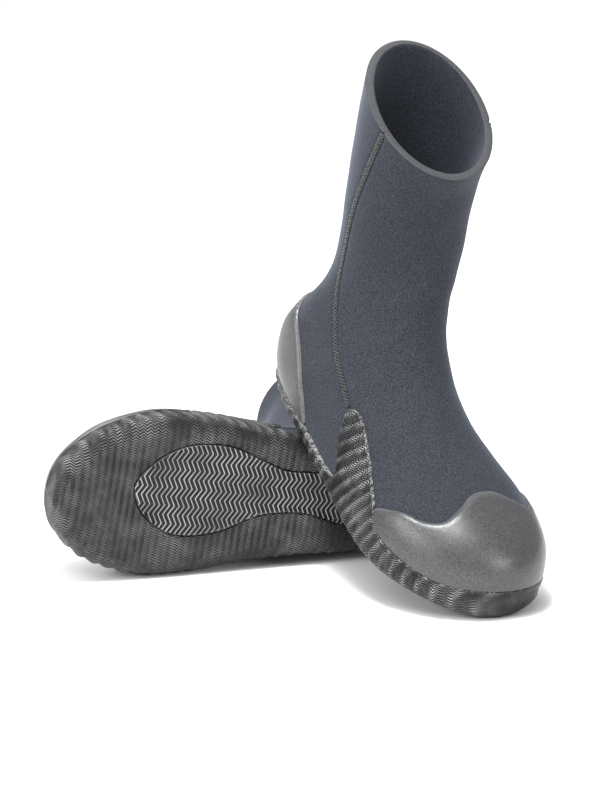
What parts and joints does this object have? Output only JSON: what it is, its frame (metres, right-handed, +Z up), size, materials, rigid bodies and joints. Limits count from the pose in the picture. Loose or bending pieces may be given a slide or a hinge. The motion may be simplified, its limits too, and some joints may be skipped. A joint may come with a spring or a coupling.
{
  "type": "neoprene boots",
  "caption": "Pull-on foam neoprene boots with stitched side seams, rubber toe and heel caps and a wrapped rubber outsole, standing on its lying mate.",
  "frame": {"origin": "on the ground under the middle of the pair's bounding box", "axes": "+Z up; seen along +Y, the lying boot's sole faces the viewer with its toe at -X, and the standing boot's toe points to +X and the viewer"},
  "size_m": [0.328, 0.403, 0.3579],
  "materials": {
    "neoprene": "fine knitted nylon jersey laminated on foam, dark blue-grey, matt",
    "foam": "closed-cell foam rubber, matt",
    "insole_foam": "moulded foam with a fabric face, matt",
    "cap_rubber": "smooth satin rubber with a fine grain",
    "heel_cap_rubber": "smooth satin rubber with a fine grain, a little lighter",
    "outsole_rubber": "moulded black rubber with fine waves and side ribs, satin",
    "tread_rubber": "moulded black rubber with chevron ribs, satin",
    "thread": "overlock nylon thread"
  },
  "bodies": {
    "left_foot": {"left_outsole": "outsole_rubber", "left_tread_panel": "tread_rubber", "left_toe_cap": "cap_rubber", "left_heel_cap": "heel_cap_rubber", "left_vamp": "neoprene", "left_front_ankle": "neoprene", "left_heel_panel": "neoprene", "left_rear_ankle": "neoprene", "left_bottom_panel": "foam", "left_insole": "insole_foam", "left_outer_seam_foot": "thread", "left_outer_seam_ankle": "thread", "left_inner_seam_foot": "thread", "left_inner_seam_ankle": "thread"},
    "left_shaft": {"left_front_shaft": "neoprene", "left_rear_shaft": "neoprene", "left_outer_seam_shaft": "thread", "left_inner_seam_shaft": "thread"},
    "right_foot": {"right_outsole": "outsole_rubber", "right_tread_panel": "tread_rubber", "right_toe_cap": "cap_rubber", "right_heel_cap": "heel_cap_rubber", "right_vamp": "neoprene", "right_front_ankle": "neoprene", "right_heel_panel": "neoprene", "right_rear_ankle": "neoprene", "right_bottom_panel": "foam", "right_insole": "insole_foam", "right_outer_seam_foot": "thread", "right_outer_seam_ankle": "thread", "right_inner_seam_foot": "thread", "right_inner_seam_ankle": "thread"},
    "right_shaft": {"right_front_shaft": "neoprene", "right_rear_shaft": "neoprene", "right_outer_seam_shaft": "thread", "right_inner_seam_shaft": "thread"}
  },
  "joints": [
    {"name": "left_ankle_flex", "type": "hinge", "parent": "left_foot", "child": "left_shaft", "pos_m": [0.02607, 0.05645, 0.04063], "axis": [0.177, -0.0137, 0.9841], "range_deg": [-15, 20], "stiffness_Nm_per_rad": 6, "deforming": ["left_front_ankle", "left_rear_ankle", "left_outer_seam_ankle", "left_inner_seam_ankle"]},
    {"name": "right_boot_lift", "type": "slide", "parent": "left_foot", "child": "right_foot", "axis": [0, 0, 1], "range_m": [0, 0.25]},
    {"name": "right_ankle_flex", "type": "hinge", "parent": "right_foot", "child": "right_shaft", "pos_m": [0.06227, -0.08351, 0.20811], "axis": [0.8281, 0.5604, -0.0142], "range_deg": [-15, 20], "stiffness_Nm_per_rad": 6, "deforming": ["right_front_ankle", "right_rear_ankle", "right_outer_seam_ankle", "right_inner_seam_ankle"]}
  ]
}
